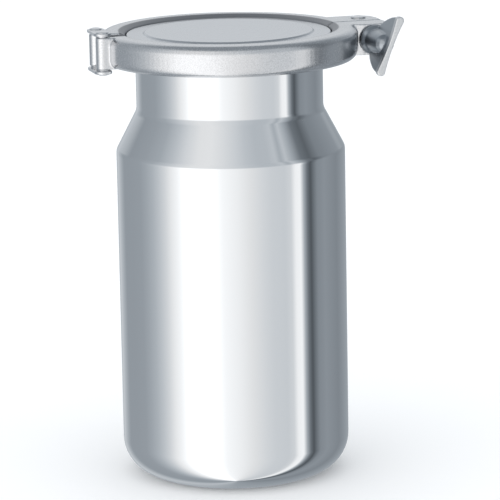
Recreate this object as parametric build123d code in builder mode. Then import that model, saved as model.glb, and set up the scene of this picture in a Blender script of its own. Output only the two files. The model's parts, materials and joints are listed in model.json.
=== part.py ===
"""Small stainless milk can with a flat lid, held on by a hinged ferrule clamp.

Millimetres, +Z up, origin at the centre of the base. The clamp's hinge is at -X
and its swing bolt at +X, so the two clamp halves meet on the plane Y = 0.
"""
import math
import os

from build123d import *

# ---- can body and neck -------------------------------------------------------
body_r = 62.3
wall = 1.5
base_corner_r = 20.0
shoulder_z = 180.3
shoulder_corner_r = 6.0
neck_r = 50.8                # 4 inch tube, 101.6 mm outside
neck_z = 202.2
neck_corner_r = 8.0
weld_z = 214.5

# ---- joint between neck and lid ----------------------------------------------
seal_z = 237.0               # mid-plane of the gasket and of the clamp
gasket_t = 2.0
gasket_r = 58.7
flange_r = 59.5              # 4 inch clamp ferrule, 119 mm outside
flange_rim_t = 2.9
taper = math.tan(math.radians(20))
bead_r = 54.0                # pitch radius of the gasket's bead
bead_section_r = 1.9
groove_section_r = 2.0
lid_hub_r = 55.4
lid_face_z = 243.5
plateau_r = 45.4
plateau_h = 1.0

# ---- clamp ring, heights measured from the seal plane ------------------------
clamp_r = 69.75
clamp_half_h = 8.5
clamp_edge_r = 4.8
groove_r = 61.0
lip_r = 56.0
lip_h = 6.6
lip_top_r = 59.4
jaw_gap = 0.3                # between the tapers, which touch only when tight
split_gap = 0.8              # from the plane Y = 0 to a half, at the bolt
hinge_gap = 6.3              # the same at the hinge
lug_root_r = 66.0

# ---- hinge -------------------------------------------------------------------
hinge_x = -72.0
hinge_y = 7.5
barrel_r = 3.7
barrel_half_h = 8.6
barrel_web = 8.0             # length of the web between a barrel and the ring
hinge_pin_r = 2.5
running = 0.06               # radial clearance of a turning fit
collar_r = 3.0
collar_h = 8.66
link_h = 9.4
link_t = 1.6
link_r = 4.7
rivet_r = 3.4
rivet_t = 0.9

# ---- swing bolt and wing nut -------------------------------------------------
bolt_x = 77.5
bolt_pin_y = 11.5
bolt_pin_r = 3.0
bolt_pin_head_r = 4.2
bolt_pin_head_t = 1.2
eye_r = 7.0
eye_half_h = 4.2
eye_room_r = 8.0
lug_slot_half_h = 4.4
lug_r = 9.5
lug_end_x = bolt_x + lug_r
shank_r = 4.0                # M8, pitch 1.25 mm

# along the bolt, measured from its pin
fork_seat = 25.0
fork_rim = 26.8
washer_start = 25.1
washer_end = 26.5
nut_start = 26.55
nut_collar = 28.8
nut_dome = 42.0
nut_hub_end = 49.5
nut_bore_end = 45.0
bar_start = 53.0
bar_end = 56.5
shank_end = 42.5

pocket_r = 7.1
washer_r = 6.5
washer_bore_r = 4.2
nut_nose_r = 6.7
nut_collar_r = 8.1
nut_hub_r = 5.8
nut_bore_r = 4.08
wing_root = (8.0, 31.0)      # out from the bolt, and along it from its pin
wing_middle = (13.6, 41.5)
wing_tip_r = 15.9
wing_t = 2.6
wing_lean = math.radians(22)
bar_half_l = 16.8
bar_half_w = 2.25            # the bar along the wings' far edge, near its ends
bar_waist = 1.35             # the same at its middle


# ---- planes and small shapes -------------------------------------------------
def at_height(h):
    """The horizontal plane h above the seal plane."""
    return Plane.XY.offset(seal_z + h)


def along_bolt(distance):
    """The plane square to the bolt, this far from its pin, facing away from the clamp."""
    return Plane.XZ.offset(distance - bolt_pin_y)


def flange_taper(r):
    """Height of a flange's tapered face above the seal plane at radius r."""
    return gasket_t / 2 + flange_rim_t + (flange_r - r) * taper


def disc(x, y, r, low, high):
    """An upright disc between two heights above the seal plane."""
    with BuildPart() as solid:
        with BuildSketch(at_height(low)):
            with Locations((x, y)):
                Circle(r)
        extrude(amount=high - low)
    return solid.part


def bead(section_r):
    """The round ring at the gasket's bead: the bead itself, or its groove."""
    with BuildPart() as ring:
        with BuildSketch(Plane.XZ):
            with Locations((bead_r, seal_z)):
                Circle(section_r)
        revolve(axis=Axis.Z)
    return ring.part


# ---- can ---------------------------------------------------------------------
def can_form(inset):
    """The drawn can as a full solid, its surface moved inwards by inset."""
    slope = math.atan2(body_r - neck_r, neck_z - shoulder_z)
    drop = inset * math.tan(slope / 2)
    corner_radii = [
        base_corner_r - inset,
        shoulder_corner_r - inset,
        neck_corner_r + inset,
    ]
    with BuildPart() as form:
        with BuildSketch(Plane.XZ):
            with BuildLine():
                side = FilletPolyline(
                    (0, inset),
                    (body_r - inset, inset),
                    (body_r - inset, shoulder_z - drop),
                    (neck_r - inset, neck_z - drop),
                    (neck_r - inset, weld_z),
                    radius=corner_radii,
                )
                Polyline(side @ 1, (0, weld_z), (0, inset))
            make_face()
        revolve(axis=Axis.Z)
    return form.part


with BuildPart() as can_shell:
    add(can_form(0))
    add(can_form(wall), mode=Mode.SUBTRACT)

with BuildPart() as neck_ferrule:
    face_z = seal_z - gasket_t / 2
    rim_z = face_z - flange_rim_t
    with BuildSketch(Plane.XZ):
        with BuildLine():
            outside = FilletPolyline(
                (neck_r - wall, weld_z),
                (neck_r, weld_z),
                (neck_r, rim_z - (flange_r - neck_r) * taper),
                (flange_r, rim_z),
                (flange_r, face_z),
                (neck_r - wall, face_z),
                radius=[0, 3.0, 0.6, 0.4],
            )
            Line(outside @ 1, outside @ 0)
        make_face()
    revolve(axis=Axis.Z)
    add(bead(groove_section_r), mode=Mode.SUBTRACT)

# ---- lid and gasket ----------------------------------------------------------
with BuildPart() as lid:
    face_z = seal_z + gasket_t / 2
    with BuildSketch(Plane.XZ):
        with BuildLine():
            upper_side = FilletPolyline(
                (0, face_z),
                (flange_r, face_z),
                (flange_r, face_z + flange_rim_t),
                (lid_hub_r, seal_z + flange_taper(lid_hub_r)),
                (lid_hub_r, lid_face_z),
                (plateau_r + plateau_h, lid_face_z),
                (plateau_r, lid_face_z + plateau_h),
                (0, lid_face_z + plateau_h),
                radius=[0.4, 0.6, 0.5, 0.6, 0.6, 0.6],
            )
            Line(upper_side @ 1, upper_side @ 0)
        make_face()
    revolve(axis=Axis.Z)
    add(bead(groove_section_r), mode=Mode.SUBTRACT)

with BuildPart() as lid_gasket:
    gasket_bore = neck_r - wall
    with BuildSketch(Plane.XZ):
        with Locations(((gasket_bore + gasket_r) / 2, seal_z)):
            Rectangle(gasket_r - gasket_bore, gasket_t)
    revolve(axis=Axis.Z)
    add(bead(bead_section_r))


# ---- clamp halves ------------------------------------------------------------
def clamp_ring():
    """The whole ring, grooved inside for the two tapered flanges."""
    upper = [
        (groove_r, flange_taper(groove_r) + jaw_gap),
        (lip_r, flange_taper(lip_r) + jaw_gap),
        (lip_r, lip_h),
        (lip_top_r, clamp_half_h),
        (clamp_r, clamp_half_h),
    ]
    lower = [(r, -h) for r, h in reversed(upper)]
    corners = [0.6, 0.4, 0.6, 0.8, clamp_edge_r]
    with BuildPart() as ring:
        with BuildSketch(Plane.XZ):
            with BuildLine():
                FilletPolyline(
                    *[(r, seal_z + h) for r, h in upper + lower],
                    radius=corners + corners[::-1],
                    close=True,
                )
            make_face()
        revolve(axis=Axis.Z)
    return ring.part


def far_side(side):
    """What a half leaves free: all past Y = 0, its gap at the bolt and the one at the hinge."""
    away = Align.MAX if side > 0 else Align.MIN
    with BuildPart() as waste:
        with BuildSketch(at_height(-2 * clamp_half_h)):
            with Locations((0, side * split_gap)):
                Rectangle(4 * clamp_r, 2 * clamp_r, align=(Align.CENTER, away))
            with Locations((0, side * hinge_gap)):
                Rectangle(2 * clamp_r, 2 * clamp_r, align=(Align.MAX, away))
        extrude(amount=4 * clamp_half_h)
    return waste.part


def hinge_barrel(side):
    """The bored knuckle on a half's end, with the web that joins it to the ring."""
    outwards = Align.MIN if side > 0 else Align.MAX
    y = side * hinge_y
    with BuildPart() as barrel:
        with BuildSketch(at_height(-clamp_half_h)):
            with Locations((hinge_x, y)):
                Rectangle(barrel_web, barrel_r, align=(Align.MIN, outwards))
        extrude(amount=2 * clamp_half_h)
        add(disc(hinge_x, y, barrel_r, -barrel_half_h, barrel_half_h))
        bore = hinge_pin_r + running
        add(disc(hinge_x, y, bore, -barrel_half_h, barrel_half_h), mode=Mode.SUBTRACT)
    return barrel.part


with BuildPart() as nut_pocket:
    with BuildSketch(along_bolt(fork_seat - 3)):
        with Locations((bolt_x, seal_z)):
            Circle(pocket_r)
        with Locations((bolt_x, seal_z)):
            Rectangle(2 * lug_r, 2 * pocket_r, align=(Align.MIN, Align.CENTER))
    extrude(amount=8)
    seat_round = disc(bolt_x, bolt_pin_y, fork_seat, -clamp_half_h, clamp_half_h)
    add(seat_round, mode=Mode.SUBTRACT)

with BuildPart() as rear_clamp_half:
    add(clamp_ring())
    add(far_side(1), mode=Mode.SUBTRACT)
    with BuildSketch(at_height(-clamp_half_h)):
        with Locations((lug_root_r - 6, split_gap)):
            Rectangle(lug_end_x - lug_root_r + 6, bolt_pin_y - split_gap, align=(Align.MIN, Align.MIN))
        with Locations((lug_root_r - 9, bolt_pin_y)):
            Rectangle(bolt_x - lug_root_r + 9, lug_r, align=(Align.MIN, Align.MIN))
        with Locations((bolt_x, bolt_pin_y)):
            Circle(lug_r)
        Circle(lug_root_r, mode=Mode.SUBTRACT)
    extrude(amount=2 * clamp_half_h)
    with BuildSketch(at_height(-lug_slot_half_h)):
        with Locations((bolt_x, bolt_pin_y)):
            Circle(eye_room_r)
        with Locations((bolt_x - shank_r - 1, -1)):
            Rectangle(2 * lug_r, bolt_pin_y + shank_r + 3, align=(Align.MIN, Align.MIN))
    extrude(amount=2 * lug_slot_half_h, mode=Mode.SUBTRACT)
    pin_hole = disc(bolt_x, bolt_pin_y, bolt_pin_r, -clamp_half_h, clamp_half_h)
    add(pin_hole, mode=Mode.SUBTRACT)
    add(hinge_barrel(1))

with BuildPart() as front_clamp_half:
    add(clamp_ring())
    add(far_side(-1), mode=Mode.SUBTRACT)
    with BuildSketch(at_height(-clamp_half_h)):
        with Locations((lug_root_r - 6, -split_gap)):
            Rectangle(lug_end_x - lug_root_r + 6, lug_root_r, align=(Align.MIN, Align.MAX))
        with Locations((bolt_x, bolt_pin_y)):
            Circle(fork_rim, mode=Mode.INTERSECT)
        Circle(lug_root_r, mode=Mode.SUBTRACT)
    extrude(amount=2 * clamp_half_h)
    with BuildSketch(along_bolt(bolt_pin_y)):
        with Locations((bolt_x, seal_z)):
            Circle(lug_slot_half_h)
            Rectangle(2 * lug_r, 2 * lug_slot_half_h, align=(Align.MIN, Align.CENTER))
    extrude(amount=fork_rim, mode=Mode.SUBTRACT)
    add(nut_pocket.part, mode=Mode.SUBTRACT)
    add(hinge_barrel(-1))


# ---- hinge links and pins ----------------------------------------------------
def hinge_link(low):
    """A flat plate over both pins, with its lower face at this height."""
    with BuildPart() as link:
        with BuildSketch(at_height(low)):
            with Locations((hinge_x, 0)):
                SlotCenterToCenter(2 * hinge_y, 2 * link_r, rotation=90)
            with Locations((hinge_x, hinge_y), (hinge_x, -hinge_y)):
                Circle(hinge_pin_r, mode=Mode.SUBTRACT)
        extrude(amount=link_t)
    return link


def hinge_pin(y):
    """A pin with a collar under each link and a riveted head over it."""
    top = link_h + link_t
    with BuildPart() as pin:
        add(disc(hinge_x, y, hinge_pin_r, -top, top))
        for low, high in ((collar_h, link_h), (-link_h, -collar_h)):
            add(disc(hinge_x, y, collar_r, low, high))
        for low, high in ((top, top + rivet_t), (-top - rivet_t, -top)):
            add(disc(hinge_x, y, rivet_r, low, high))
        ends = pin.faces().filter_by(GeomType.PLANE).sort_by(Axis.Z)
        fillet(ends[0].edges() + ends[-1].edges(), 0.6)
    return pin


hinge_link_upper = hinge_link(link_h)
hinge_link_lower = hinge_link(-link_h - link_t)
rear_hinge_pin = hinge_pin(hinge_y)
front_hinge_pin = hinge_pin(-hinge_y)

# ---- swing bolt, its pin, washer and wing nut --------------------------------
with BuildPart() as swing_bolt:
    add(disc(bolt_x, bolt_pin_y, eye_r, -eye_half_h, eye_half_h))
    with BuildSketch(along_bolt(0)):
        with Locations((bolt_x, seal_z)):
            Circle(shank_r)
    extrude(amount=shank_end)
    chamfer(swing_bolt.faces().sort_by(Axis.Y)[0].edges(), 0.8)
    eye_bore = disc(bolt_x, bolt_pin_y, bolt_pin_r + running, -eye_half_h, eye_half_h)
    add(eye_bore, mode=Mode.SUBTRACT)

with BuildPart() as swing_bolt_pin:
    top = clamp_half_h + bolt_pin_head_t
    add(disc(bolt_x, bolt_pin_y, bolt_pin_r, -clamp_half_h, clamp_half_h))
    add(disc(bolt_x, bolt_pin_y, bolt_pin_head_r, clamp_half_h, top))
    add(disc(bolt_x, bolt_pin_y, bolt_pin_head_r, -top, -clamp_half_h))
    pin_ends = swing_bolt_pin.faces().filter_by(GeomType.PLANE).sort_by(Axis.Z)
    fillet(pin_ends[0].edges() + pin_ends[-1].edges(), 0.9)

with BuildPart() as nut_washer:
    with BuildSketch(along_bolt(washer_start)):
        with Locations((bolt_x, seal_z)):
            Circle(washer_r)
            Circle(washer_bore_r, mode=Mode.SUBTRACT)
    extrude(amount=washer_end - washer_start)

# the wings' own plane: x out along the upper wing, y along the bolt from its pin
wing_direction = (math.sin(wing_lean), 0, math.cos(wing_lean))
wing_plane = Plane(
    origin=(bolt_x, bolt_pin_y, seal_z),
    x_dir=wing_direction,
    z_dir=(math.cos(wing_lean), 0, -math.sin(wing_lean)),
)

with BuildPart() as wing_nut:
    with BuildSketch(wing_plane):
        with BuildLine():
            Polyline(
                (nut_bore_r, nut_start),
                (nut_nose_r, nut_start),
                (nut_nose_r, nut_start + 1),
                (nut_collar_r, nut_collar),
                (nut_collar_r, nut_collar + 1),
                (nut_hub_r + 0.6, nut_collar + 3),
                (nut_hub_r, nut_dome),
                (nut_hub_r - 0.5, nut_dome + 4),
                (nut_hub_r - 2, nut_hub_end - 1.5),
                (nut_hub_r - 4, nut_hub_end),
                (0, nut_hub_end),
                (0, nut_bore_end),
                (nut_bore_r, nut_bore_end),
                close=True,
            )
        make_face()
    revolve(axis=Axis((bolt_x, bolt_pin_y, seal_z), (0, -1, 0)))
    web_in = nut_bore_r + 0.6
    with BuildSketch(wing_plane):
        with BuildLine():
            right = ThreePointArc(wing_root, wing_middle, (wing_tip_r, bar_start + 1))
            left = ThreePointArc(
                (-wing_tip_r, bar_start + 1),
                (-wing_middle[0], wing_middle[1]),
                (-wing_root[0], wing_root[1]),
            )
            Line(right @ 1, left @ 0)
            Polyline(
                left @ 1,
                (-web_in, wing_root[1]),
                (-web_in, nut_bore_end + 0.7),
                (web_in, nut_bore_end + 0.7),
                (web_in, wing_root[1]),
                right @ 0,
            )
        make_face()
    extrude(amount=wing_t / 2, both=True)
    bar_plane = Plane(
        origin=wing_plane.from_local_coords((0, bar_start, 0)),
        x_dir=wing_direction,
        z_dir=(0, -1, 0),
    )
    tip = (bar_half_l - 2, bar_half_w)
    with BuildSketch(bar_plane):
        with BuildLine():
            ThreePointArc((-tip[0], tip[1]), (0, bar_waist), tip)
            ThreePointArc(tip, (bar_half_l, 0), (tip[0], -tip[1]))
            ThreePointArc((tip[0], -tip[1]), (0, -bar_waist), (-tip[0], -tip[1]))
            ThreePointArc((-tip[0], -tip[1]), (-bar_half_l, 0), (-tip[0], tip[1]))
        make_face()
    extrude(amount=bar_end - bar_start)

# ---- write every piece -------------------------------------------------------
pieces = {
    "can_shell": can_shell,
    "neck_ferrule": neck_ferrule,
    "lid": lid,
    "lid_gasket": lid_gasket,
    "front_clamp_half": front_clamp_half,
    "rear_clamp_half": rear_clamp_half,
    "hinge_link_upper": hinge_link_upper,
    "hinge_link_lower": hinge_link_lower,
    "front_hinge_pin": front_hinge_pin,
    "rear_hinge_pin": rear_hinge_pin,
    "swing_bolt": swing_bolt,
    "swing_bolt_pin": swing_bolt_pin,
    "nut_washer": nut_washer,
    "wing_nut": wing_nut,
}

os.makedirs("parts", exist_ok=True)
for name, piece in pieces.items():
    piece.part.label = name
    export_step(piece.part, f"parts/{name}.step")
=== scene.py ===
"""Looks of a small stainless milk can with a clamped lid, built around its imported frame.

Every new piece is in metres at its own place, and rides the body of the CAD piece it stands for.
"""
import json
import math

import bpy
from bpy.props import FloatProperty, FloatVectorProperty, IntProperty, PointerProperty
from mathutils import Matrix, Vector

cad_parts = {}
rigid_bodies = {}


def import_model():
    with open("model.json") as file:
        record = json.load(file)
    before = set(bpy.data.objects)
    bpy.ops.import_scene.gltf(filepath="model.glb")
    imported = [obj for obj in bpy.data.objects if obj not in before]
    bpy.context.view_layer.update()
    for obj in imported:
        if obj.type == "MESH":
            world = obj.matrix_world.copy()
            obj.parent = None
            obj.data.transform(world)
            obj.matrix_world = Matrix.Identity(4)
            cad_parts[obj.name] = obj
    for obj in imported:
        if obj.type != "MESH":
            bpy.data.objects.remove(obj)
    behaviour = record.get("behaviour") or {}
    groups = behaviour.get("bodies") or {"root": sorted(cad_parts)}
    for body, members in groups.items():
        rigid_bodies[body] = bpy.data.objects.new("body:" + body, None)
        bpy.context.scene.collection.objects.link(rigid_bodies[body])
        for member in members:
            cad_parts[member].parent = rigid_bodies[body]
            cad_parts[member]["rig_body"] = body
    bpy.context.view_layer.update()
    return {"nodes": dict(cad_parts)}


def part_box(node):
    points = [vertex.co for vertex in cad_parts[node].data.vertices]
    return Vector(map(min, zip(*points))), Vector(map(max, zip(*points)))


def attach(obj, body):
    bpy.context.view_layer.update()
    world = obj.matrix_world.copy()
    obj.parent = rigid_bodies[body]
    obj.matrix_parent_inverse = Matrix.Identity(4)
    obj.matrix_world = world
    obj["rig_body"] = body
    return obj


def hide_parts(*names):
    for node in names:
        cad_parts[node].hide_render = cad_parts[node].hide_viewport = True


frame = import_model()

bl_info = {
    "name": "Clamped Milk Can",
    "version": (1, 0, 0),
    "blender": (4, 5, 0),
    "location": "View3D > Sidebar > Milk Can",
    "description": "Builds a polished can, its lid, ring clamp and wing nut, and a plain studio",
    "category": "Object",
}

MM = 0.001
UP = Vector((0, 0, 1))
FULL_TURN = 2 * math.pi

# ---- places that come from the frame -------------------------------------------
can_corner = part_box("can_shell")[1]
ferrule_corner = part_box("neck_ferrule")[1]
front_low, front_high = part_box("front_clamp_half")
BODY_RADIUS = can_corner.x
WELD_HEIGHT = can_corner.z
FLANGE_RADIUS = ferrule_corner.x
FLANGE_FACE = ferrule_corner.z
LID_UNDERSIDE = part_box("lid")[0].z
SEAL_HEIGHT = (front_low.z + front_high.z) / 2

# ---- sizes that the CAD pieces share -------------------------------------------
TAPER = math.tan(math.radians(20))  # a ferrule flange's slope
BARREL_HALF = 8.66 * MM  # from the seal to the collar over a hinge barrel
RUNNING_FIT = 0.06 * MM  # the swing bolt's clearance on its pin
BAR_DEPTH = 3.5 * MM  # the bar along the wing nut's far edge


def middle(node):
    """The centre of a CAD node's box."""
    low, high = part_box(node)
    return (low + high) / 2


def linear(hex_colour):
    """An sRGB hex colour as linear red, green and blue."""
    parts = [int(hex_colour[i:i + 2], 16) / 255 for i in (1, 3, 5)]
    return [c / 12.92 if c <= 0.04045 else ((c + 0.055) / 1.055) ** 2.4 for c in parts]


def length(name, about, millimetres):
    """A length property, its default given in millimetres."""
    return FloatProperty(
        name=name, description=about, default=millimetres * MM, unit="LENGTH", precision=5
    )


def colour(name, about, hex_colour):
    """A colour property, its default given as sRGB hex."""
    return FloatVectorProperty(
        name=name, description=about, default=linear(hex_colour), subtype="COLOR", size=3
    )


# ---- what a user would change --------------------------------------------------
class CanSizes(bpy.types.PropertyGroup):
    """Sizes of the can, its lid and the joint between them."""

    wall: length("Wall", "Thickness of the drawn sheet", 1.5)
    base_corner: length("Base corner", "Outside radius of the base corner", 20.0)
    shoulder_height: length("Shoulder height", "Where the cone starts, above the base", 180.3)
    shoulder_corner: length("Shoulder corner", "Outside radius where the cone starts", 6.0)
    neck_radius: length("Neck radius", "Outside radius of the 4 inch neck", 50.8)
    neck_height: length("Neck height", "Where the cone meets the neck", 202.2)
    neck_corner: length("Neck corner", "Radius of the bend into the neck", 8.0)
    rim: length("Flange rim", "Thickness of a flange at its edge", 2.9)
    bead: length("Bead groove", "Radius of the groove for the gasket's bead", 2.0)
    bead_pitch: length("Bead pitch", "Distance of the bead from the axis", 54.0)
    hub_radius: length("Lid hub", "Radius of the lid above its flange", 55.4)
    lid_face: length("Lid face", "Height of the lid's outer face above the seal", 6.5)
    plateau_radius: length("Plateau radius", "Radius of the raised middle of the lid", 45.4)
    plateau: length("Plateau height", "How far the middle stands above the face", 1.0)
    smoothness: IntProperty(name="Segments", description="Faces round a large turned piece",
                            default=288, min=32)


class ClampSizes(bpy.types.PropertyGroup):
    """Sizes of the clamp's small pieces and of its cast skin."""

    skin: length("Cast skin", "Spacing of the clamp's mesh", 0.5)
    nut_skin: length("Nut skin", "Spacing of the wing nut's mesh", 0.35)
    soften: IntProperty(name="Softening", description="Passes that round the cast edges",
                        default=5, min=0)
    link_radius: length("Link radius", "Radius of a hinge link's ends", 4.7)
    link_edge: length("Link edge", "Rounding of a hinge link's edges", 0.35)
    pin_radius: length("Hinge pin", "Radius of a hinge pin", 2.5)
    collar_radius: length("Pin collar", "Radius of the collar under each link", 3.0)
    rivet_radius: length("Rivet head", "Radius of a peened head", 3.4)
    bolt_pin_radius: length("Bolt pin", "Radius of the swing bolt's pin", 3.0)
    bolt_pin_head: length("Bolt pin head", "Radius of that pin's heads", 4.2)
    eye_radius: length("Bolt eye", "Outside radius of the swing bolt's eye", 7.0)
    shank_radius: length("Shank", "Outside radius of the M8 thread", 4.0)
    pitch: length("Pitch", "Pitch of the M8 thread", 1.25)
    thread_depth: length("Thread depth", "Depth of the M8 thread", 0.68)


class Finishes(bpy.types.PropertyGroup):
    """Colours of the metals, the gasket and the floor."""

    polished: colour("Polished steel", "Mirror-buffed stainless steel", "#DDDFE1")
    satin: colour("Satin steel", "Machine-polished stainless steel", "#D6D8DB")
    cast: colour("Cast steel", "Vibration-polished cast stainless steel", "#E2E3E5")
    nut: colour("Cast nut", "Tumbled cast stainless steel", "#E8E9EA")
    bright: colour("Turned steel", "Bright turned stainless steel", "#DCDDDF")
    silicone: colour("Gasket", "Moulded silicone rubber", "#E4E1DA")
    floor: colour("Floor", "Matt pale paper", "#F4F4F4")


# ---- modelling helpers ---------------------------------------------------------
def deselect_all():
    """Leaves object mode with nothing selected."""
    if bpy.context.object and bpy.context.object.mode != "OBJECT":
        bpy.ops.object.mode_set(mode="OBJECT")
    bpy.ops.object.select_all(action="DESELECT")


def only(piece):
    """Selects one object and makes it the active one."""
    deselect_all()
    piece.select_set(True)
    bpy.context.view_layer.objects.active = piece


def pick_vertices(piece, wanted):
    """Selects the vertices for which wanted(place) is true, and goes into edit mode."""
    bpy.ops.object.mode_set(mode="EDIT")
    bpy.ops.mesh.select_mode(type="VERT")
    bpy.ops.mesh.select_all(action="DESELECT")
    bpy.ops.object.mode_set(mode="OBJECT")
    for vertex in piece.data.vertices:
        vertex.select = bool(wanted(vertex.co))
    bpy.ops.object.mode_set(mode="EDIT")


def apply_modifier(piece, kind, **settings):
    """Adds one modifier with its settings and applies it."""
    only(piece)
    modifier = piece.modifiers.new(kind.title(), kind)
    for name, value in settings.items():
        setattr(modifier, name, value)
    bpy.ops.object.modifier_apply(modifier=modifier.name)


def settle(piece):
    """Puts a piece's place into its mesh and leaves its object at the origin."""
    only(piece)
    bpy.ops.object.transform_apply(location=True, rotation=True, scale=True)


def smooth(piece, angle=35):
    """Smooth shading that keeps real corners, with flat faces kept flat."""
    only(piece)
    bpy.ops.object.shade_smooth_by_angle(angle=math.radians(angle))
    apply_modifier(piece, "WEIGHTED_NORMAL", keep_sharp=True)


def join(name, parts):
    """Joins several objects into one piece."""
    deselect_all()
    for part in parts:
        part.select_set(True)
    bpy.context.view_layer.objects.active = parts[0]
    bpy.ops.object.join()
    parts[0].name = name
    return parts[0]


def turned(name, outline, foot=Vector(), axis=UP, out=Vector((1, 0, 0)), segments=96, arc=8):
    """A turned piece. The outline's corners are (radius, distance along the axis, rounding).

    The outline runs from the axis back to the axis, or is closed on itself for a ring.
    """
    places = [foot + out * radius + axis * along for radius, along, _ in outline]
    deselect_all()
    bpy.ops.mesh.primitive_plane_add(size=2 * MM)
    piece = bpy.context.object
    bpy.ops.object.mode_set(mode="EDIT")
    bpy.ops.mesh.merge(type="CENTER")
    bpy.ops.transform.translate(value=places[0])
    for here, there in zip(places, places[1:]):
        bpy.ops.mesh.extrude_region_move(TRANSFORM_OT_translate={"value": there - here})
    ring = outline[0][0] > 0 or outline[-1][0] > 0
    if ring:
        ends = (places[0], places[-1])
        pick_vertices(piece, lambda place: min((place - end).length for end in ends) < 1e-7)
        bpy.ops.mesh.edge_face_add()
    for index, (_, _, rounding) in enumerate(outline):
        if rounding:
            here = places[index]
            before = (places[index - 1] - here).normalized()
            after = (places[(index + 1) % len(places)] - here).normalized()
            turn = math.pi - before.angle(after)
            pick_vertices(piece, lambda place: (place - here).length < 1e-7)
            bpy.ops.mesh.bevel(
                affect="VERTICES", offset=rounding * math.tan(turn / 2), segments=arc,
                profile=0.5, clamp_overlap=False,
            )
    bpy.ops.mesh.select_all(action="SELECT")
    bpy.ops.mesh.spin(steps=segments, angle=FULL_TURN, center=foot, axis=axis)
    bpy.ops.mesh.remove_doubles(threshold=0.002 * MM)
    bpy.ops.mesh.normals_make_consistent(inside=False)
    bpy.ops.object.mode_set(mode="OBJECT")
    piece.name = name
    settle(piece)
    smooth(piece)
    return piece


def cad_copy(name, node):
    """A merged copy of a CAD node's mesh, to be worked on as a piece of its own."""
    piece = bpy.data.objects.new(name, frame["nodes"][node].data.copy())
    bpy.context.scene.collection.objects.link(piece)
    piece.data.materials.clear()
    only(piece)
    bpy.ops.object.mode_set(mode="EDIT")
    bpy.ops.mesh.select_all(action="SELECT")
    bpy.ops.mesh.customdata_custom_splitnormals_clear()
    bpy.ops.mesh.remove_doubles(threshold=0.002 * MM)
    bpy.ops.object.mode_set(mode="OBJECT")
    return piece


def cast_skin(piece, spacing, passes):
    """Turns a piece built from crossing shapes into one cast skin with softened edges."""
    apply_modifier(piece, "REMESH", mode="VOXEL", voxel_size=spacing, use_smooth_shade=True)
    apply_modifier(piece, "SMOOTH", factor=0.5, iterations=passes)
    only(piece)
    bpy.ops.object.shade_smooth()


def hand_over(piece, material, node):
    """Gives a finished piece its material and body, in place of its CAD node."""
    piece.data.materials.clear()
    piece.data.materials.append(material)
    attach(piece, frame["nodes"][node]["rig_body"])
    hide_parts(node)


# ---- materials -----------------------------------------------------------------
def add_node(tree, kind, inputs=(), **settings):
    """Adds a node with its settings, and sets or links its inputs."""
    node = tree.nodes.new(kind)
    for name, value in settings.items():
        setattr(node, name, value)
    for key, value in dict(inputs).items():
        if isinstance(value, bpy.types.NodeSocket):
            tree.links.new(value, node.inputs[key])
        else:
            node.inputs[key].default_value = value
    return node


def new_material(name):
    """An empty node material, its Object coordinates and its surface shader."""
    found = bpy.data.materials.get(name)
    if found:
        return found, None, None, None
    material = bpy.data.materials.new(name)
    material.use_nodes = True
    tree = material.node_tree
    place = add_node(tree, "ShaderNodeTexCoord").outputs["Object"]
    return material, tree, place, tree.nodes["Principled BSDF"]


def per(millimetres):
    """A texture scale that repeats about once in this many millimetres."""
    return 1 / (millimetres * MM)


def polished_stainless():
    """Deep-drawn 304 stainless steel, buffed on a lathe: a mirror with hair-fine hoops."""
    material, tree, place, shader = new_material("mirror_buffed_stainless_steel")
    if not tree:
        return material
    shader.inputs["Base Color"].default_value = (*bpy.context.scene.finishes.polished, 1)
    shader.inputs["Metallic"].default_value = 1.0
    hoops = add_node(tree, "ShaderNodeMapping",
                     {"Vector": place, "Scale": (per(40), per(40), per(0.45))})
    marks = add_node(tree, "ShaderNodeTexNoise",
                     {"Vector": hoops.outputs[0], "Scale": 1.0, "Detail": 2.0})
    drawn = add_node(tree, "ShaderNodeTexNoise",
                     {"Vector": place, "Scale": per(38), "Detail": 0.0})
    gloss = add_node(tree, "ShaderNodeMapRange",
                     {"Value": marks.outputs[0], "To Min": 0.02, "To Max": 0.055})
    waves = add_node(tree, "ShaderNodeBump",
                     {"Height": drawn.outputs[0], "Strength": 0.12, "Distance": 0.05 * MM})
    lines = add_node(tree, "ShaderNodeBump",
                     {"Height": marks.outputs[0], "Strength": 0.06, "Distance": 0.01 * MM,
                      "Normal": waves.outputs[0]})
    tree.links.new(gloss.outputs[0], shader.inputs["Roughness"])
    tree.links.new(lines.outputs[0], shader.inputs["Normal"])
    return material


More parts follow.
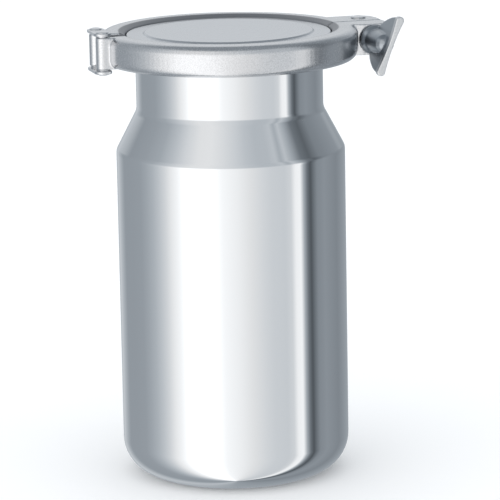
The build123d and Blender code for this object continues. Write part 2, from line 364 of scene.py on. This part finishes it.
def satin_stainless():
    """Stainless lid, faced on a lathe and machine polished: fine rings and a soft sheen."""
    material, tree, place, shader = new_material("satin_faced_stainless_steel")
    if not tree:
        return material
    shader.inputs["Base Color"].default_value = (*bpy.context.scene.finishes.satin, 1)
    shader.inputs["Metallic"].default_value = 1.0
    flat = add_node(tree, "ShaderNodeVectorMath", {0: place, 1: (1, 1, 0)}, operation="MULTIPLY")
    radius = add_node(tree, "ShaderNodeVectorMath", {0: flat.outputs[0]}, operation="LENGTH")
    ring = add_node(tree, "ShaderNodeMath", {0: radius.outputs["Value"], 1: per(0.5)},
                    operation="MULTIPLY")
    rings = add_node(tree, "ShaderNodeTexNoise", {"W": ring.outputs[0], "Scale": 1.0},
                     noise_dimensions="1D")
    grain = add_node(tree, "ShaderNodeTexNoise", {"Vector": place, "Scale": per(0.6)})
    gloss = add_node(tree, "ShaderNodeMapRange",
                     {"Value": rings.outputs[0], "To Min": 0.24, "To Max": 0.34})
    turned_marks = add_node(tree, "ShaderNodeBump",
                            {"Height": rings.outputs[0], "Strength": 0.12,
                             "Distance": 0.02 * MM})
    tooth = add_node(tree, "ShaderNodeBump",
                     {"Height": grain.outputs[0], "Strength": 0.05, "Distance": 0.02 * MM,
                      "Normal": turned_marks.outputs[0]})
    tree.links.new(gloss.outputs[0], shader.inputs["Roughness"])
    tree.links.new(tooth.outputs[0], shader.inputs["Normal"])
    return material


def cast_stainless(name, base, grain_mm, rough, relief):
    """Investment-cast stainless steel, vibration polished: a matt glitter over soft forms.

    Gives the material, and its nodes for more work if the material is new.
    """
    material, tree, place, shader = new_material(name)
    if not tree:
        return material, None, None, None
    shader.inputs["Metallic"].default_value = 1.0
    grain = add_node(tree, "ShaderNodeTexNoise",
                     {"Vector": place, "Scale": per(grain_mm), "Detail": 3.0})
    flow = add_node(tree, "ShaderNodeTexNoise",
                    {"Vector": place, "Scale": per(14), "Detail": 2.0})
    speckle = add_node(tree, "ShaderNodeMapRange",
                       {"Value": grain.outputs[0], "From Min": 0.36, "From Max": 0.60})
    patches = add_node(tree, "ShaderNodeMath", {0: flow.outputs[0], 1: speckle.outputs[0]},
                       operation="MULTIPLY_ADD")
    patches.inputs[2].default_value = 0.25
    dull = [c * 0.76 for c in base]
    shade = add_node(tree, "ShaderNodeMix",
                     {"Factor": patches.outputs[0], 6: (*dull, 1), 7: (*base, 1)},
                     data_type="RGBA")
    gloss = add_node(tree, "ShaderNodeMapRange",
                     {"Value": grain.outputs[0], "To Min": rough - 0.06, "To Max": rough + 0.08})
    pits = add_node(tree, "ShaderNodeBump",
                    {"Height": grain.outputs[0], "Strength": relief, "Distance": 0.12 * MM})
    tree.links.new(shade.outputs[2], shader.inputs["Base Color"])
    tree.links.new(gloss.outputs[0], shader.inputs["Roughness"])
    tree.links.new(pits.outputs[0], shader.inputs["Normal"])
    return material, tree, place, shader


def clamp_casting():
    """The clamp halves' finish: an even grain, rougher inside the ring with painted shade
    darkening it there, and bright at the hinge.
    """
    base = bpy.context.scene.finishes.cast
    material, tree, place, shader = cast_stainless(
        "vibration_polished_cast_steel", base, 0.7, 0.24, 0.30)
    if not tree:
        return material
    flat = add_node(tree, "ShaderNodeVectorMath", {0: place, 1: (1, 1, 0)}, operation="MULTIPLY")
    radius = add_node(tree, "ShaderNodeVectorMath", {0: flat.outputs[0]}, operation="LENGTH")
    crest, inner_wall = 60.3 * MM, 59.3 * MM
    inside = add_node(tree, "ShaderNodeMapRange",
                      {"Value": radius.outputs["Value"], "From Min": crest,
                       "From Max": inner_wall})
    colours = shader.inputs["Base Color"].links[0].from_socket
    # Painted shade: inside the crest the colour drops to under half the cast colour, standing
    # for the shade on the ring's inner wall; the rougher as-cast surface there is real.
    painted_inner_shade = add_node(tree, "ShaderNodeMix",
                     {"Factor": inside.outputs[0], 6: colours,
                      7: (base[0] * 0.45, base[1] * 0.45, base[2] * 0.46, 1)},
                     data_type="RGBA")
    tree.links.new(painted_inner_shade.outputs[2], shader.inputs["Base Color"])
    along = add_node(tree, "ShaderNodeSeparateXYZ", {0: place})
    web_end, barrel_start = -68.0 * MM, -69.5 * MM
    knuckle = add_node(tree, "ShaderNodeMapRange",
                       {"Value": along.outputs["X"], "From Min": web_end,
                        "From Max": barrel_start})
    rough = shader.inputs["Roughness"].links[0].from_socket
    dull = add_node(tree, "ShaderNodeMix",
                    {"Factor": inside.outputs[0], 2: rough, 3: 0.45}, data_type="FLOAT")
    shine = add_node(tree, "ShaderNodeMix",
                     {"Factor": knuckle.outputs[0], 2: dull.outputs[0], 3: 0.12},
                     data_type="FLOAT")
    tree.links.new(shine.outputs[0], shader.inputs["Roughness"])
    return material


def nut_casting():
    """The wing nut's finish: the bar along the wings' edge keeps the pale cast colour, and
    everything behind it is darker and bluish as painted shade.
    """
    base = bpy.context.scene.finishes.nut
    material, tree, place, shader = cast_stainless("tumbled_cast_steel", base, 0.9, 0.30, 0.40)
    if not tree:
        return material
    parts = add_node(tree, "ShaderNodeSeparateXYZ", {0: place})
    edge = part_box("wing_nut")[0].y + BAR_DEPTH
    wings = add_node(tree, "ShaderNodeMapRange",
                     {"Value": parts.outputs["Y"], "From Min": edge - 0.2 * MM,
                      "From Max": edge + 0.4 * MM})
    colours = shader.inputs["Base Color"].links[0].from_socket
    # Painted shade: past the bar the colour is halved and tinted blue, standing for the shade on
    # the wings, hub and nose.
    dull = add_node(tree, "ShaderNodeMix",
                    {"Factor": wings.outputs[0], 6: colours,
                     7: (base[0] * 0.50, base[1] * 0.53, base[2] * 0.56, 1)},
                    data_type="RGBA")
    tree.links.new(dull.outputs[2], shader.inputs["Base Color"])
    return material


def link_pressing():
    """The hinge links' finish: blanked plate, tumbled until its edges shine."""
    base = bpy.context.scene.finishes.cast
    return cast_stainless("tumbled_pressed_steel", base, 0.5, 0.22, 0.12)[0]


def turned_stainless():
    """Bar stock turned bright: narrow streaks of light with fine tool marks."""
    material, tree, place, shader = new_material("bright_turned_stainless_steel")
    if not tree:
        return material
    shader.inputs["Base Color"].default_value = (*bpy.context.scene.finishes.bright, 1)
    shader.inputs["Metallic"].default_value = 1.0
    grain = add_node(tree, "ShaderNodeTexNoise",
                     {"Vector": place, "Scale": per(0.3), "Detail": 2.0})
    gloss = add_node(tree, "ShaderNodeMapRange",
                     {"Value": grain.outputs[0], "To Min": 0.12, "To Max": 0.24})
    marks = add_node(tree, "ShaderNodeBump",
                     {"Height": grain.outputs[0], "Strength": 0.10, "Distance": 0.03 * MM})
    tree.links.new(gloss.outputs[0], shader.inputs["Roughness"])
    tree.links.new(marks.outputs[0], shader.inputs["Normal"])
    return material


def silicone_rubber():
    """Moulded food-grade silicone: milky, slightly clear at its edges, with a talc bloom."""
    material, tree, place, shader = new_material("moulded_silicone_rubber")
    if not tree:
        return material
    shader.inputs["Base Color"].default_value = (*bpy.context.scene.finishes.silicone, 1)
    shader.inputs["IOR"].default_value = 1.41
    shader.inputs["Subsurface Weight"].default_value = 0.15
    shader.inputs["Subsurface Scale"].default_value = 2 * MM
    bloom = add_node(tree, "ShaderNodeTexNoise",
                     {"Vector": place, "Scale": per(1.2), "Detail": 3.0})
    gloss = add_node(tree, "ShaderNodeMapRange",
                     {"Value": bloom.outputs[0], "To Min": 0.42, "To Max": 0.62})
    skin = add_node(tree, "ShaderNodeBump",
                    {"Height": bloom.outputs[0], "Strength": 0.1, "Distance": 0.05 * MM})
    tree.links.new(gloss.outputs[0], shader.inputs["Roughness"])
    tree.links.new(skin.outputs[0], shader.inputs["Normal"])
    return material


# ---- the can and its lid -------------------------------------------------------
class BuildCanBody(bpy.types.Operator):
    """Spins the drawn can: base, body, cone and the start of the neck"""

    bl_idname = "milk_can.can_body"
    bl_label = "Can body"

    def execute(self, context):
        sizes = context.scene.can_sizes
        wall = sizes.wall
        slope = math.atan2(BODY_RADIUS - sizes.neck_radius,
                           sizes.neck_height - sizes.shoulder_height)
        drop = wall * math.tan(slope / 2)
        outline = [
            (0, 0, 0),
            (BODY_RADIUS, 0, sizes.base_corner),
            (BODY_RADIUS, sizes.shoulder_height, sizes.shoulder_corner),
            (sizes.neck_radius, sizes.neck_height, sizes.neck_corner),
            (sizes.neck_radius, WELD_HEIGHT, 0),
            (sizes.neck_radius - wall, WELD_HEIGHT, 0),
            (sizes.neck_radius - wall, sizes.neck_height - drop, sizes.neck_corner + wall),
            (BODY_RADIUS - wall, sizes.shoulder_height - drop, sizes.shoulder_corner - wall),
            (BODY_RADIUS - wall, wall, sizes.base_corner - wall),
            (0, wall, 0),
        ]
        piece = turned("can_body", outline, segments=sizes.smoothness, arc=12)
        hand_over(piece, polished_stainless(), "can_shell")
        return {"FINISHED"}


class BuildFerrule(bpy.types.Operator):
    """Spins the neck's ferrule, with its tapered flange and bead groove"""

    bl_idname = "milk_can.ferrule"
    bl_label = "Neck ferrule"

    def execute(self, context):
        sizes = context.scene.can_sizes
        bore = sizes.neck_radius - sizes.wall
        rim = FLANGE_FACE - sizes.rim
        outline = [
            (bore, WELD_HEIGHT, 0),
            (sizes.neck_radius, WELD_HEIGHT, 0),
            (sizes.neck_radius, rim - (FLANGE_RADIUS - sizes.neck_radius) * TAPER, 3 * MM),
            (FLANGE_RADIUS, rim, 0.6 * MM),
            (FLANGE_RADIUS, FLANGE_FACE, 0.4 * MM),
            (sizes.bead_pitch + sizes.bead, FLANGE_FACE, 0.2 * MM),
            (sizes.bead_pitch, FLANGE_FACE - sizes.bead / 2, 1.5 * MM),
            (sizes.bead_pitch - sizes.bead, FLANGE_FACE, 0.2 * MM),
            (bore, FLANGE_FACE, 0.3 * MM),
        ]
        piece = turned("neck_ferrule_ring", outline, segments=sizes.smoothness)
        hand_over(piece, polished_stainless(), "neck_ferrule")
        return {"FINISHED"}


class BuildLid(bpy.types.Operator):
    """Spins the lid, with its raised middle and its flange"""

    bl_idname = "milk_can.lid"
    bl_label = "Lid"

    def execute(self, context):
        sizes = context.scene.can_sizes
        under = LID_UNDERSIDE
        face = SEAL_HEIGHT + sizes.lid_face
        top = face + sizes.plateau
        shoulder = under + sizes.rim + (FLANGE_RADIUS - sizes.hub_radius) * TAPER
        outline = [
            (0, under, 0),
            (sizes.bead_pitch - sizes.bead, under, 0.2 * MM),
            (sizes.bead_pitch, under + sizes.bead / 2, 1.5 * MM),
            (sizes.bead_pitch + sizes.bead, under, 0.2 * MM),
            (FLANGE_RADIUS, under, 0.4 * MM),
            (FLANGE_RADIUS, under + sizes.rim, 0.6 * MM),
            (sizes.hub_radius, shoulder, 0.5 * MM),
            (sizes.hub_radius, face, 0.6 * MM),
            (sizes.plateau_radius + sizes.plateau, face, 0.6 * MM),
            (sizes.plateau_radius, top, 0.6 * MM),
            (0, top, 0),
        ]
        piece = turned("lid_plate", outline, segments=sizes.smoothness)
        hand_over(piece, satin_stainless(), "lid")
        return {"FINISHED"}


class FinishGasket(bpy.types.Operator):
    """Gives the gasket its silicone"""

    bl_idname = "milk_can.gasket"
    bl_label = "Gasket"

    def execute(self, context):
        gasket = frame["nodes"]["lid_gasket"]
        gasket.data.materials.clear()
        gasket.data.materials.append(silicone_rubber())
        return {"FINISHED"}


# ---- the clamp -----------------------------------------------------------------
class BuildClampHalves(bpy.types.Operator):
    """Casts both clamp halves with softened edges and filleted lugs"""

    bl_idname = "milk_can.clamp_halves"
    bl_label = "Clamp halves"

    def execute(self, context):
        sizes = context.scene.clamp_sizes
        for name, node in (("front_half_casting", "front_clamp_half"),
                           ("rear_half_casting", "rear_clamp_half")):
            piece = cad_copy(name, node)
            cast_skin(piece, sizes.skin, sizes.soften)
            hand_over(piece, clamp_casting(), node)
        return {"FINISHED"}


class BuildHingeLinks(bpy.types.Operator):
    """Presses the two links that join the clamp halves over the hinge pins"""

    bl_idname = "milk_can.hinge_links"
    bl_label = "Hinge links"

    def execute(self, context):
        sizes = context.scene.clamp_sizes
        front, rear = middle("front_hinge_pin"), middle("rear_hinge_pin")
        for name, node in (("upper_link_plate", "hinge_link_upper"),
                           ("lower_link_plate", "hinge_link_lower")):
            low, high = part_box(node)
            deselect_all()
            bpy.ops.mesh.primitive_circle_add(
                vertices=64, radius=sizes.link_radius, fill_type="NGON",
                location=(front.x, front.y, low.z),
            )
            piece = bpy.context.object
            settle(piece)
            pick_vertices(piece, lambda place: place.y > front.y + 0.01 * MM)
            bpy.ops.transform.translate(value=(0, rear.y - front.y, 0))
            bpy.ops.mesh.select_all(action="SELECT")
            bpy.ops.mesh.extrude_region_move(
                TRANSFORM_OT_translate={"value": (0, 0, high.z - low.z)}
            )
            bpy.ops.mesh.select_all(action="SELECT")
            bpy.ops.mesh.normals_make_consistent(inside=False)
            bpy.ops.object.mode_set(mode="OBJECT")
            apply_modifier(piece, "BEVEL", width=sizes.link_edge, segments=4,
                           limit_method="ANGLE", angle_limit=math.radians(60))
            smooth(piece)
            piece.name = name
            hand_over(piece, link_pressing(), node)
        return {"FINISHED"}


class BuildHingePins(bpy.types.Operator):
    """Turns the two hinge pins, each with collars and peened heads"""

    bl_idname = "milk_can.hinge_pins"
    bl_label = "Hinge pins"

    def execute(self, context):
        sizes = context.scene.clamp_sizes
        link_low, link_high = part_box("hinge_link_upper")
        inner, outer = link_low.z - SEAL_HEIGHT, link_high.z - SEAL_HEIGHT
        for name, node in (("front_pin_riveted", "front_hinge_pin"),
                           ("rear_pin_riveted", "rear_hinge_pin")):
            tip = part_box(node)[1].z - SEAL_HEIGHT
            half = [
                (0, tip, 0),
                (sizes.rivet_radius * 0.62, tip - 0.12 * MM, 1.5 * MM),
                (sizes.rivet_radius, outer + 0.35 * MM, 0.5 * MM),
                (sizes.rivet_radius, outer, 0),
                (sizes.pin_radius, outer, 0),
                (sizes.pin_radius, inner, 0),
                (sizes.collar_radius, inner, 0.15 * MM),
                (sizes.collar_radius, BARREL_HALF, 0.15 * MM),
                (sizes.pin_radius, BARREL_HALF, 0),
            ]
            outline = half + [(r, -along, rounding) for r, along, rounding in reversed(half)]
            foot = middle(node)
            foot.z = SEAL_HEIGHT
            piece = turned(name, outline, foot=foot, segments=48, arc=4)
            hand_over(piece, turned_stainless(), node)
        return {"FINISHED"}


class BuildSwingBolt(bpy.types.Operator):
    """Forges the swing bolt's eye onto its shank and cuts the M8 thread"""

    bl_idname = "milk_can.swing_bolt"
    bl_label = "Swing bolt"

    def execute(self, context):
        sizes = context.scene.clamp_sizes
        low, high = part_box("swing_bolt")
        pin = middle("swing_bolt_pin")
        along = Vector((0, -1, 0))
        half = high.z - SEAL_HEIGHT
        bore = sizes.bolt_pin_radius + RUNNING_FIT
        foot = Vector((pin.x, pin.y, SEAL_HEIGHT))
        eye = turned("eye", [
            (bore, -half, 0.3 * MM),
            (sizes.eye_radius, -half, 0.9 * MM),
            (sizes.eye_radius, half, 0.9 * MM),
            (bore, half, 0.3 * MM),
        ], foot=foot, segments=64, arc=4)
        end = pin.y - low.y
        root = sizes.shank_radius - sizes.thread_depth
        thread_start = sizes.eye_radius + 4 * MM
        steps_per_turn = 6
        count = int((end - thread_start) / sizes.pitch * steps_per_turn)
        outline = [(0, sizes.eye_radius - 1.5 * MM, 0),
                   (sizes.shank_radius, sizes.eye_radius - 1.5 * MM, 0)]
        outline += [(sizes.shank_radius, thread_start + (end - thread_start) * i / count, 0)
                    for i in range(count + 1)]
        outline.append((0, end, 0))
        shank = turned("shank", outline, foot=foot, axis=along, out=UP, segments=48)
        for vertex in shank.data.vertices:
            offset = vertex.co - foot
            distance = offset.dot(along)
            across = offset - along * distance
            if across.length < root or distance < thread_start:
                continue
            turn = math.atan2(across.x, across.z) / FULL_TURN
            phase = (distance / sizes.pitch + turn) % 1
            depth = sizes.thread_depth * abs(2 * phase - 1)
            run_out = min(1, (distance - thread_start) / sizes.pitch)
            point = max(0, 1 - (end - distance) / (0.8 * MM)) * 0.6 * MM
            vertex.co -= across.normalized() * max(depth * run_out, point)
        piece = join("threaded_swing_bolt", [shank, eye])
        smooth(piece, 50)
        hand_over(piece, turned_stainless(), "swing_bolt")
        return {"FINISHED"}


class BuildBoltPin(bpy.types.Operator):
    """Turns the pin that the swing bolt hangs on"""

    bl_idname = "milk_can.bolt_pin"
    bl_label = "Swing bolt pin"

    def execute(self, context):
        sizes = context.scene.clamp_sizes
        low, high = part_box("swing_bolt_pin")
        foot = middle("swing_bolt_pin")
        lug = front_high.z - SEAL_HEIGHT
        tip = high.z - foot.z
        half = [
            (0, tip, 0),
            (sizes.bolt_pin_head * 0.6, tip - 0.15 * MM, 2 * MM),
            (sizes.bolt_pin_head, lug + 0.5 * MM, 0.5 * MM),
            (sizes.bolt_pin_head, lug, 0),
            (sizes.bolt_pin_radius, lug, 0),
        ]
        outline = half + [(r, -along, rounding) for r, along, rounding in reversed(half)]
        piece = turned("swing_bolt_rivet", outline, foot=foot, segments=48, arc=5)
        hand_over(piece, turned_stainless(), "swing_bolt_pin")
        return {"FINISHED"}


class BuildWasher(bpy.types.Operator):
    """Turns the washer under the wing nut"""

    bl_idname = "milk_can.washer"
    bl_label = "Washer"

    def execute(self, context):
        sizes = context.scene.clamp_sizes
        low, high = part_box("nut_washer")
        foot = middle("nut_washer")
        half = (high.y - low.y) / 2
        bore = sizes.shank_radius + 0.2 * MM
        rim = (high.x - low.x) / 2
        outline = [
            (bore, -half, 0.15 * MM),
            (rim, -half, 0.3 * MM),
            (rim, half, 0.3 * MM),
            (bore, half, 0.15 * MM),
        ]
        piece = turned("bright_washer", outline, foot=foot, axis=Vector((0, 1, 0)), out=UP,
                       segments=64, arc=3)
        hand_over(piece, turned_stainless(), "nut_washer")
        return {"FINISHED"}


class BuildWingNut(bpy.types.Operator):
    """Casts the wing nut with its capped hub and the bar along its wings"""

    bl_idname = "milk_can.wing_nut"
    bl_label = "Wing nut"

    def execute(self, context):
        sizes = context.scene.clamp_sizes
        piece = cad_copy("wing_nut_casting", "wing_nut")
        cast_skin(piece, sizes.nut_skin, sizes.soften)
        hand_over(piece, nut_casting(), "wing_nut")
        return {"FINISHED"}


# ---- the studio ----------------------------------------------------------------
CAMERA_AZIMUTH = math.radians(16.0)
CAMERA_ELEVATION = math.radians(11.79)
CAMERA_ROLL = math.radians(-1.04)
CAMERA_DISTANCE = 1.840
CAMERA_ASIDE = 9.5 * MM
CAMERA_AIM_HEIGHT = 122.7 * MM
CAMERA_LENS = 241.5

# Brightness round the light tent: bearing in degrees from the camera, to the right, and value.
LOW_TENT = [
    (-180, 0.40), (-158, 0.64), (-147, 0.50), (-137, 0.37), (-120, 0.38), (-104, 0.40),
    (-95, 0.46), (-86, 0.55), (-78, 0.68), (-70, 0.86), (-63, 1.08), (-56, 1.24), (-48, 1.50),
    (-18, 1.50), (-9, 1.28), (7, 1.14), (19, 1.00), (32, 0.86), (41, 0.79), (55, 0.76),
    (62, 0.84), (67, 1.16), (73, 1.22), (77.5, 0.50), (82, 0.20), (86.5, 0.10), (91, 0.20),
    (96, 0.30), (107, 0.34), (131, 0.28), (149, 0.34),
]
HIGH_TENT = [
    (-180, 0.80), (-150, 0.66), (-127, 0.36), (-104, 0.40), (-86, 0.47), (-70, 0.64),
    (-56, 0.84), (-40, 1.00), (-25, 1.02), (-12, 0.94), (7, 0.78), (19, 0.67), (32, 0.60),
    (45, 0.60), (54, 0.66), (60, 0.50), (66, 0.66), (74, 0.46), (84, 0.20), (94, 0.14),
    (107, 0.26), (122, 0.30), (140, 0.34), (155, 0.60),
]
ROOF = 0.30  # the dim tent overhead
TENT_STRENGTH = 2.0  # a ramp's colours stop at 1, so the tent's values are halved in it


def tent_tint(value):
    """Neutral where the tent is bright, a little blue where it is dim."""
    blue = 0.30 * max(0.0, 1 - value)
    shades = value, value * (1 + blue / 2), value * (1 + blue)
    return (*[shade / TENT_STRENGTH for shade in shades], 1)


class BuildStudio(bpy.types.Operator):
    """Sets the floor, the light tent, a soft light for the floor, and the camera"""

    bl_idname = "milk_can.studio"
    bl_label = "Studio"

    def execute(self, context):
        scene = context.scene
        scene.view_settings.view_transform = "Standard"
        self.lay_floor(scene)
        self.hang_tent(scene)
        self.hang_light()
        self.set_camera(scene)
        return {"FINISHED"}

    def lay_floor(self, scene):
        """A wide pale floor that the polished metal doesn't mirror."""
        deselect_all()
        bpy.ops.mesh.primitive_plane_add(size=16)
        floor = bpy.context.object
        floor.name = "floor"
        floor.visible_glossy = False
        material, tree, place, shader = new_material("matt_pale_paper")
        shader.inputs["Base Color"].default_value = (*scene.finishes.floor, 1)
        shader.inputs["Roughness"].default_value = 0.9
        fibre = add_node(tree, "ShaderNodeTexNoise", {"Vector": place, "Scale": per(3)})
        tooth = add_node(tree, "ShaderNodeBump",
                         {"Height": fibre.outputs[0], "Strength": 0.05, "Distance": 0.1 * MM})
        tree.links.new(tooth.outputs[0], shader.inputs["Normal"])
        floor.data.materials.append(material)

    def hang_tent(self, scene):
        """A light tent round the object: bright and dim panels, dim overhead."""
        world = bpy.data.worlds.new("light_tent")
        world.use_nodes = True
        scene.world = world
        tree = world.node_tree
        direction = add_node(tree, "ShaderNodeTexCoord").outputs["Generated"]
        parts = add_node(tree, "ShaderNodeSeparateXYZ", {0: direction})
        bearing = add_node(tree, "ShaderNodeMath",
                           {0: parts.outputs["Y"], 1: parts.outputs["X"]}, operation="ARCTAN2")
        # the camera looks from -Y, turned by its azimuth; half a turn puts bearing 0 mid-ramp
        start = 0.25 + 0.5 + CAMERA_AZIMUTH / FULL_TURN
        turns = add_node(tree, "ShaderNodeMath",
                         {0: bearing.outputs[0], 1: 1 / FULL_TURN, 2: start},
                         operation="MULTIPLY_ADD")
        around = add_node(tree, "ShaderNodeMath", {0: turns.outputs[0]}, operation="FRACT")
        walls = []
        for panels in (LOW_TENT, HIGH_TENT):
            wall = add_node(tree, "ShaderNodeValToRGB", {0: around.outputs[0]})
            stops = wall.color_ramp.elements
            while len(stops) < len(panels) + 1:
                stops.new(0.5)
            for stop, (angle, value) in zip(stops, panels + [(180, panels[0][1])]):
                stop.position = (angle + 180) / 360
                stop.color = tent_tint(value)
            walls.append(wall.outputs[0])
        rise = add_node(tree, "ShaderNodeMapRange",
                        {"Value": parts.outputs["Z"], "From Min": 0.0, "From Max": 0.20},
                        interpolation_type="SMOOTHSTEP")
        sides = add_node(tree, "ShaderNodeMix",
                         {"Factor": rise.outputs[0], 6: walls[0], 7: walls[1]},
                         data_type="RGBA")
        roof = add_node(tree, "ShaderNodeMapRange",
                        {"Value": parts.outputs["Z"], "From Min": 0.72, "From Max": 0.86},
                        interpolation_type="SMOOTHSTEP")
        whole = add_node(tree, "ShaderNodeMix",
                         {"Factor": roof.outputs[0], 6: sides.outputs[2], 7: tent_tint(ROOF)},
                         data_type="RGBA")
        tree.links.new(whole.outputs[2], tree.nodes["Background"].inputs["Color"])
        tree.nodes["Background"].inputs["Strength"].default_value = TENT_STRENGTH

    def hang_light(self):
        """A soft even light overhead for the floor, which polished metal doesn't mirror."""
        deselect_all()
        bpy.ops.object.light_add(type="SUN", location=(0, 0, 2.0))
        light = bpy.context.object
        light.name = "overhead_soft_light"
        light.data.angle = math.radians(150)
        light.data.energy = 2.3
        light.visible_glossy = False

    def set_camera(self, scene):
        """A long lens a little above the can, turned to show the clamp's hinge and bolt."""
        away = Vector((-math.sin(CAMERA_AZIMUTH) * math.cos(CAMERA_ELEVATION),
                       -math.cos(CAMERA_AZIMUTH) * math.cos(CAMERA_ELEVATION),
                       math.sin(CAMERA_ELEVATION)))
        right = Vector((math.cos(CAMERA_AZIMUTH), -math.sin(CAMERA_AZIMUTH), 0))
        above = away.cross(right)
        level_right = right * math.cos(CAMERA_ROLL) + above * math.sin(CAMERA_ROLL)
        level_up = above * math.cos(CAMERA_ROLL) - right * math.sin(CAMERA_ROLL)
        aim = right * CAMERA_ASIDE + UP * CAMERA_AIM_HEIGHT
        deselect_all()
        bpy.ops.object.camera_add(location=aim + away * CAMERA_DISTANCE)
        camera = bpy.context.object
        camera.rotation_euler = Matrix((level_right, level_up, away)).transposed().to_euler()
        camera.data.lens = CAMERA_LENS
        camera.data.sensor_width = 36.0
        camera.data.clip_start = 0.05
        camera.data.clip_end = 50.0
        scene.camera = camera


# ---- sidebar panel and registration --------------------------------------------
OPERATORS = (
    BuildStudio, BuildCanBody, BuildFerrule, BuildLid, FinishGasket, BuildClampHalves,
    BuildHingeLinks, BuildHingePins, BuildSwingBolt, BuildBoltPin, BuildWasher, BuildWingNut,
)
GROUPS = {"can_sizes": CanSizes, "clamp_sizes": ClampSizes, "finishes": Finishes}


class MilkCanPanel(bpy.types.Panel):
    """Lists the sizes, the finishes and every piece's operator"""

    bl_idname = "VIEW3D_PT_milk_can"
    bl_label = "Milk Can"
    bl_space_type = "VIEW_3D"
    bl_region_type = "UI"
    bl_category = "Milk Can"

    def draw(self, context):
        for group, kind in GROUPS.items():
            column = self.layout.column(align=True)
            for name in kind.__annotations__:
                column.prop(getattr(context.scene, group), name)
        for operator in OPERATORS:
            self.layout.operator(operator.bl_idname)


def register():
    for kind in (*GROUPS.values(), *OPERATORS, MilkCanPanel):
        bpy.utils.register_class(kind)
    for name, kind in GROUPS.items():
        setattr(bpy.types.Scene, name, PointerProperty(type=kind))


def unregister():
    for name in GROUPS:
        delattr(bpy.types.Scene, name)
    for kind in reversed((*GROUPS.values(), *OPERATORS, MilkCanPanel)):
        bpy.utils.unregister_class(kind)


def main():
    register()
    for operator in OPERATORS:
        family, name = operator.bl_idname.split(".")
        getattr(getattr(bpy.ops, family), name)()


if __name__ == "__main__":
    main()
